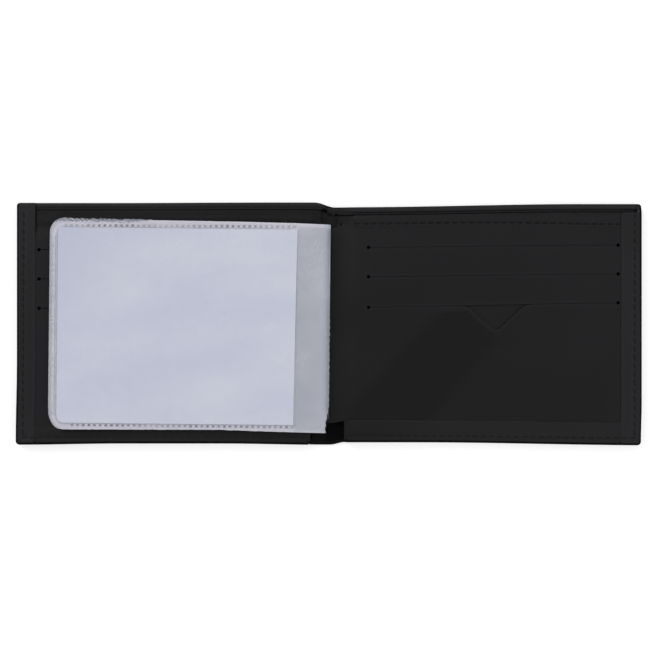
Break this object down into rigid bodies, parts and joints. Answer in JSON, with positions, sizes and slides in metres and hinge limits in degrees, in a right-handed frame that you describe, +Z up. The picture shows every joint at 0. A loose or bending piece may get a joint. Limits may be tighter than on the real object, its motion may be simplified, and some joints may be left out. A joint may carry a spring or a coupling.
{
  "type": "bifold wallet",
  "caption": "Bifold leather wallet lying open, with a bill compartment, card slits with a thumb notch, and a clear photo insert with turning leaves and sliding slips; it folds shut.",
  "frame": {"origin": "on the surface that the open wallet lies on, under the middle of its outline", "axes": "+X along the open wallet from the half with the insert to the half with the bare card slits, +Y to the mouth of the bill compartment, +Z up out of the inside of the wallet"},
  "size_m": [0.23, 0.0884, 0.0081],
  "materials": {
    "cover_leather": "satin",
    "panel_leather": "satin",
    "lining_cloth": "matte",
    "thread": "matte",
    "film": "gloss",
    "slip_paper": "matte"
  },
  "bodies": {
    "left_half": {"left_cover": "cover_leather", "left_bill_lining": "lining_cloth", "left_end_hem": "cover_leather", "left_bottom_hem": "cover_leather", "left_top_hem": "cover_leather", "left_inner_wall": "lining_cloth", "left_pocket_sheet_1": "lining_cloth", "left_pocket_sheet_2": "lining_cloth", "left_pocket_sheet_3": "lining_cloth", "left_slot_panel": "panel_leather", "left_top_binding": "panel_leather", "left_end_seam": "thread", "left_bottom_seam": "thread", "left_top_seam": "thread", "insert_tongue": "film"},
    "spine": {"spine_cover": "cover_leather", "spine_bill_lining": "lining_cloth", "spine_inner_wall": "panel_leather", "insert_bar": "film"},
    "right_half": {"right_cover": "cover_leather", "right_bill_lining": "lining_cloth", "right_end_hem": "cover_leather", "right_bottom_hem": "cover_leather", "right_top_hem": "cover_leather", "right_inner_wall": "lining_cloth", "right_pocket_sheet_1": "lining_cloth", "right_pocket_sheet_2": "lining_cloth", "right_pocket_sheet_3": "lining_cloth", "right_slot_panel": "panel_leather", "right_top_binding": "panel_leather", "right_end_seam": "thread", "right_bottom_seam": "thread", "right_top_seam": "thread"},
    "leaf_1": {"leaf_1_back_film": "film", "leaf_1_front_film": "film", "leaf_1_gutter": "film"},
    "leaf_2": {"leaf_2_back_film": "film", "leaf_2_front_film": "film", "leaf_2_gutter": "film"},
    "leaf_3": {"leaf_3_back_film": "film", "leaf_3_front_film": "film", "leaf_3_gutter": "film"},
    "leaf_4": {"leaf_4_back_film": "film", "leaf_4_front_film": "film", "leaf_4_gutter": "film"},
    "slip_1": {"photo_slip_1": "slip_paper"},
    "slip_2": {"photo_slip_2": "slip_paper"},
    "slip_3": {"photo_slip_3": "slip_paper"},
    "slip_4": {"photo_slip_4": "slip_paper"}
  },
  "joints": [
    {"name": "spine_fold", "type": "hinge", "parent": "left_half", "child": "spine", "pos_m": [-0.007, 0, 0.0015], "axis": [0, -1, 0], "range_deg": [0, 90], "deforming": ["leaf_1_gutter", "leaf_2_gutter", "leaf_3_gutter", "leaf_4_gutter"]},
    {"name": "cover_fold", "type": "hinge", "parent": "spine", "child": "right_half", "pos_m": [0.0054, 0, 0.0015], "axis": [0, -1, 0], "range_deg": [0, 90]},
    {"name": "leaf_1_turn", "type": "hinge", "parent": "left_half", "child": "leaf_1", "pos_m": [0, -0.0019, 0.00698], "axis": [-0.0175, -0.9998, 0], "range_deg": [-180, 0]},
    {"name": "leaf_2_turn", "type": "hinge", "parent": "left_half", "child": "leaf_2", "pos_m": [0, -0.0019, 0.00698], "axis": [-0.0175, -0.9998, 0], "range_deg": [-180, 0]},
    {"name": "leaf_3_turn", "type": "hinge", "parent": "left_half", "child": "leaf_3", "pos_m": [0, -0.0019, 0.00698], "axis": [-0.0175, -0.9998, 0], "range_deg": [-180, 0]},
    {"name": "leaf_4_turn", "type": "hinge", "parent": "left_half", "child": "leaf_4", "pos_m": [0, -0.0019, 0.00698], "axis": [-0.0175, -0.9998, 0], "range_deg": [-180, 0]},
    {"name": "slip_1_slide", "type": "slide", "parent": "leaf_1", "child": "slip_1", "axis": [-0.9998, 0.0175, 0], "range_m": [-0.088, 0]},
    {"name": "slip_2_slide", "type": "slide", "parent": "leaf_2", "child": "slip_2", "axis": [-0.9998, 0.0175, 0], "range_m": [-0.088, 0]},
    {"name": "slip_3_slide", "type": "slide", "parent": "leaf_3", "child": "slip_3", "axis": [-0.9998, 0.0175, 0], "range_m": [-0.088, 0]},
    {"name": "slip_4_slide", "type": "slide", "parent": "leaf_4", "child": "slip_4", "axis": [-0.9998, 0.0175, 0], "range_m": [-0.088, 0]}
  ],
  "couplings": [
    {"joint": "cover_fold", "follows": "spine_fold", "ratio": 1},
    {"joint": "leaf_2_turn", "follows": "leaf_1_turn", "ratio": 1},
    {"joint": "leaf_3_turn", "follows": "leaf_1_turn", "ratio": 1},
    {"joint": "leaf_4_turn", "follows": "leaf_1_turn", "ratio": 1}
  ]
}
